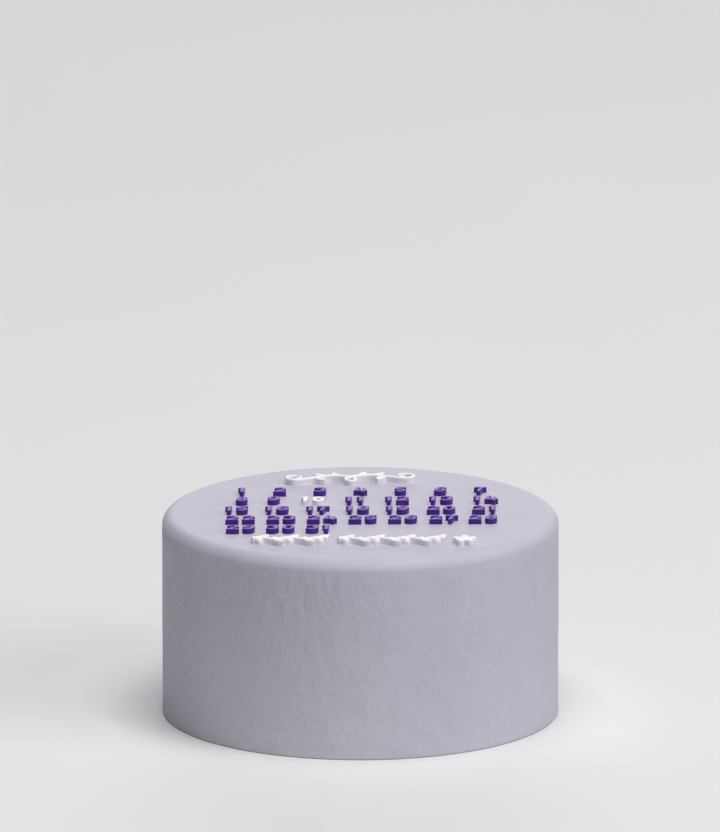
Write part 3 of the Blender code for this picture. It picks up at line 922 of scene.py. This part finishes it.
def button_shape(radius, thickness):
    """A round button with a full top above its shoulder."""
    mesh = bmesh.new()
    shoulder = BUTTON_SHOULDER * thickness
    outline = [(radius, 0), (radius, shoulder)]
    for i in range(1, BUTTON_STEPS + 1):
        a = math.pi / 2 * i / BUTTON_STEPS
        outline.append((radius * math.cos(a), shoulder + (thickness - shoulder) * math.sin(a)))
    points = [mesh.verts.new((x, 0, z)) for x, z in outline]
    edges = [mesh.edges.new(pair) for pair in zip(points, points[1:])]
    bmesh.ops.spin(
        mesh,
        geom=points + edges,
        axis=(0, 0, 1),
        cent=(0, 0, 0),
        angle=math.tau,
        steps=BUTTON_AROUND,
        use_merge=True,
    )
    bmesh.ops.remove_doubles(mesh, verts=mesh.verts, dist=SEAM / 10)
    bmesh.ops.contextual_create(mesh, geom=[e for e in mesh.edges if e.is_boundary])
    return kept(mesh, "button")


def kept(shape, name):
    """The bmesh as a mesh with its faces outwards."""
    bmesh.ops.recalc_face_normals(shape, faces=shape.faces)
    mesh = bpy.data.meshes.new(name)
    shape.to_mesh(mesh)
    shape.free()
    return mesh


def set_out(tree, shape, places, material):
    """Copies of a shape at (x, y, way it is turned in degrees)."""
    points = bpy.data.meshes.new("points")
    points.from_pydata([(x, y, 0) for x, y, _ in places], [], [])
    turns = [math.radians(turn) for _, _, turn in places]
    points.attributes.new("turn", "FLOAT", "POINT").data.foreach_set("value", turns)
    holder = bpy.data.objects.new("shape", shape)
    bpy.context.scene.collection.objects.link(holder)
    made = made_by(tree, points, shape=holder, material=material)
    bpy.data.objects.remove(holder)
    return made


def softened(meshes, rounds, material):
    """One soft body of paste made of several that overlap."""
    shape = bmesh.new()
    for mesh in meshes:
        shape.from_mesh(mesh)
    joined = bpy.data.meshes.new("joined")
    shape.to_mesh(joined)
    shape.free()
    obj = bpy.data.objects.new("work", joined)
    bpy.context.scene.collection.objects.link(obj)
    remesh = obj.modifiers.new("join", "REMESH")
    remesh.mode = "VOXEL"
    remesh.voxel_size = VOXEL
    remesh.use_smooth_shade = True
    smooth = obj.modifiers.new("soften", "SMOOTH")
    smooth.factor = 0.5
    smooth.iterations = rounds
    bpy.context.view_layer.update()
    graph = bpy.context.evaluated_depsgraph_get()
    made = bpy.data.meshes.new_from_object(obj.evaluated_get(graph))
    bpy.data.objects.remove(obj)
    made.materials.clear()
    made.materials.append(material)
    made.shade_smooth()
    return made


def strips_of(tree, strokes, thickness, edge, material):
    """A strip of paste along each stroke."""
    return made_by(
        tree,
        paths_mesh(strokes, edge),
        thickness=thickness,
        edge=edge,
        steps=EDGE_STEPS,
        material=material,
    )


def add_ornament(name, node, meshes, turn, material):
    """A soft white ornament joined of these meshes, turned and set over its node."""
    mesh = softened(meshes, ORNAMENT_SOFTENED, material)
    mesh.transform(Matrix.Rotation(turn, 4, "Z"))
    put_on(mesh, node)
    finish_piece(name, mesh, "white_paste", node)


def add_garland(name, node, strips, copies, material):
    """A wavy stem, with a leaf outside each crest and trough and a berry inside it."""
    length, waves = GARLANDS[node]
    tall = thickness_over(node)
    steps = WAVE_STEPS * waves
    stem = [
        (length * (i / steps - 0.5), GARLAND_WAVE * math.sin(math.pi * waves * i / steps))
        for i in range(steps + 1)
    ]
    berry_y = GARLAND_WAVE - GARLAND_STEM / 2 - (1 - BERRY_SUNK) * BERRY_RADIUS
    leaves, berries = [], []
    for i in range(waves):
        side = (-1) ** i
        x = length * ((i + 0.5) / waves - 0.5)
        leaves.append((x, side * GARLAND_WAVE, side * LEAF_HEADING))
        berries.append((x, side * berry_y, 0))
    leaf = leaf_shape(LEAF, LEAF_SHAPE, tall - LEAF_LOWER, VEIN)
    meshes = [
        strips_of(strips, [(stem, [GARLAND_STEM] * len(stem), False)], tall, ORNAMENT_EDGE, material),
        set_out(copies, leaf, leaves, material),
        set_out(copies, button_shape(BERRY_RADIUS, tall), berries, material),
    ]
    add_ornament(name, node, meshes, CALENDAR_TURN, material)


def add_flower(name, node, copies, material):
    """Round petals about a button."""
    tall = thickness_over(node)
    petals = [(0, 0, 90 + 360 * i / FLOWER_PETALS) for i in range(FLOWER_PETALS)]
    petal = leaf_shape(PETAL, PETAL_SHAPE, tall - PETAL_LOWER, CUP)
    button = button_shape(BUTTON_RADIUS, tall)
    meshes = [set_out(copies, petal, petals, material), set_out(copies, button, [(0, 0, 0)], material)]
    add_ornament(name, node, meshes, CALENDAR_TURN, material)


def curled(points):
    """A finer path through these points, eased by their neighbours."""
    path = [Vector(point) for point in points]
    path = [2 * path[0] - path[1], *path, 2 * path[-1] - path[-2]]
    finer = []
    for a, b, c, d in zip(path, path[1:], path[2:], path[3:]):
        for i in range(FINER_STEPS):
            t = i / FINER_STEPS
            bend = (2 * a - 5 * b + 4 * c - d) * t**2 + (3 * b - a - 3 * c + d) * t**3
            finer.append(0.5 * (2 * b + (c - a) * t + bend))
    return [tuple(point) for point in finer] + [tuple(path[-2])]


def scroll_side():
    """The right half of the scroll's stem, from beside the middle out to the end of its curl."""
    centre = SCROLL_HALF - CURL_RADIUS - SCROLL_STEM / 2
    curl = []
    for i in range(CURL_STEPS + 1):
        t = i / CURL_STEPS
        a = math.radians(CURL_START) + math.tau * t
        radius = CURL_RADIUS * (1 - CURL_CLOSING * t)
        curl.append((centre + radius * math.cos(a), CURL_HEIGHT + radius * math.sin(a)))
    return list(SCROLL_SWELL) + curl


def add_scroll(name, node, strips, copies, material):
    """A stem that curls in at both ends, with leaves on it and an open drop under its middle."""
    tall = thickness_over(node)
    right = scroll_side()
    stem = curled([(-x, y) for x, y in reversed(right)] + [(0, SCROLL_DIP)] + right)
    middle = (len(stem) - 1) / 2
    widths = [SCROLL_STEM * (1 - SCROLL_TAPER * abs(i - middle) / middle) for i in range(len(stem))]
    drop = ellipse((0, DROP_HEIGHT), DROP)
    leaves = [(x, y, heading) for x, y, heading in SCROLL_LEAVES]
    leaves += [(-x, y, 180 - heading) for x, y, heading in SCROLL_LEAVES]
    leaf = leaf_shape(LEAF, LEAF_SHAPE, tall - LEAF_LOWER, VEIN)
    drop_stroke = (drop, [DROP_STROKE] * len(drop), True)
    meshes = [
        strips_of(strips, [(stem, widths, False)], tall, ORNAMENT_EDGE, material),
        strips_of(strips, [drop_stroke], tall - DROP_LOWER, ORNAMENT_EDGE, material),
        set_out(copies, leaf, leaves, material),
    ]
    add_ornament(name, node, meshes, SCROLL_TURN, material)


# Set


def add_floor():
    """A plain pale floor that runs out of every view."""
    material, tree, shader = new_material("pale_floor")
    shader.inputs["Roughness"].default_value = FLOOR_ROUGHNESS
    place = put(tree, "ShaderNodeTexCoord").outputs["Object"]
    share = ranged(tree, noise(tree, place, *FLOOR_CLOUDS), *WIDE_SPAN, 0.0, 1.0)
    colour = mixed(tree, share, *FLOOR_SHADES)
    tree.links.new(colour, shader.inputs["Base Color"])
    shape = bmesh.new()
    bmesh.ops.create_grid(shape, x_segments=1, y_segments=1, size=FLOOR_REACH)
    floor = bpy.data.objects.new("floor", kept(shape, "floor"))
    floor.data.materials.append(material)
    bpy.context.scene.collection.objects.link(floor)


def add_camera():
    """The view from which the cake's middle falls at its place in the picture."""
    data = bpy.data.cameras.new("camera")
    camera = bpy.data.objects.new("camera", data)
    bpy.context.scene.collection.objects.link(camera)
    focal = PIXELS_PER_RADIUS * CAMERA_DISTANCE / CAKE_RADIUS
    data.sensor_width = SENSOR
    data.lens = SENSOR * focal / max(PICTURE)
    data.clip_start, data.clip_end = 0.1, 100
    below = math.atan((CAKE_PIXEL[1] - PICTURE[1] / 2) / focal)
    beside = math.atan((CAKE_PIXEL[0] - PICTURE[0] / 2) / focal)
    back = CAMERA_DISTANCE * math.cos(CAMERA_ELEVATION)
    up = CAMERA_DISTANCE * math.sin(CAMERA_ELEVATION)
    camera.location = (0, -back, CAKE_HEIGHT / 2 + up)
    camera.rotation_euler = (math.pi / 2 - CAMERA_ELEVATION + below, 0, beside)
    bpy.context.scene.camera = camera


def add_light(name, azimuth, elevation, power, colour):
    """A soft square light that looks at the cake."""
    a, e = math.radians(azimuth), math.radians(elevation)
    way = Vector((math.sin(a) * math.cos(e), -math.cos(a) * math.cos(e), math.sin(e)))
    data = bpy.data.lights.new(name, "AREA")
    data.size = LIGHT_SIZE
    data.energy = power
    data.color = colour
    light = bpy.data.objects.new(name, data)
    light.location = Vector((0, 0, CAKE_HEIGHT / 2)) + way * LIGHT_DISTANCE
    light.rotation_euler = way.to_track_quat("Z", "Y").to_euler()
    bpy.context.scene.collection.objects.link(light)


def add_lights():
    """The lights, in faintly lit surroundings."""
    world = bpy.data.worlds.new("world")
    world.use_nodes = True
    background = world.node_tree.nodes["Background"]
    background.inputs["Color"].default_value = (1, 1, 1, 1)
    background.inputs["Strength"].default_value = SURROUNDINGS
    bpy.context.scene.world = world
    for name, light in LIGHTS.items():
        add_light(name, *light)


def main():
    """The set, the materials, and a smooth piece for every node."""
    bpy.context.scene.view_settings.view_transform = "Standard"
    add_camera()
    add_floor()
    add_lights()
    lilac = lilac_icing()
    purple = paste("cut_purple_paste", **PURPLE)
    sheen(purple, *PURPLE_BLOOM)
    purple.node_tree.nodes["Principled BSDF"].inputs["Specular IOR Level"].default_value = PURPLE_REFLECTION
    white = paste("cut_white_paste", **WHITE)
    sheen(white, *WHITE_BLOOM)
    add_covering(lilac)
    strips, copies = strip_tree(), set_out_tree()
    add_numerals(strips, purple, white)
    add_scroll("scroll", "scroll_back", strips, copies, white)
    add_garland("short_garland", "garland_front_left", strips, copies, white)
    add_garland("long_garland", "garland_front_middle", strips, copies, white)
    add_flower("flower", "flower_front_right", copies, white)


main()
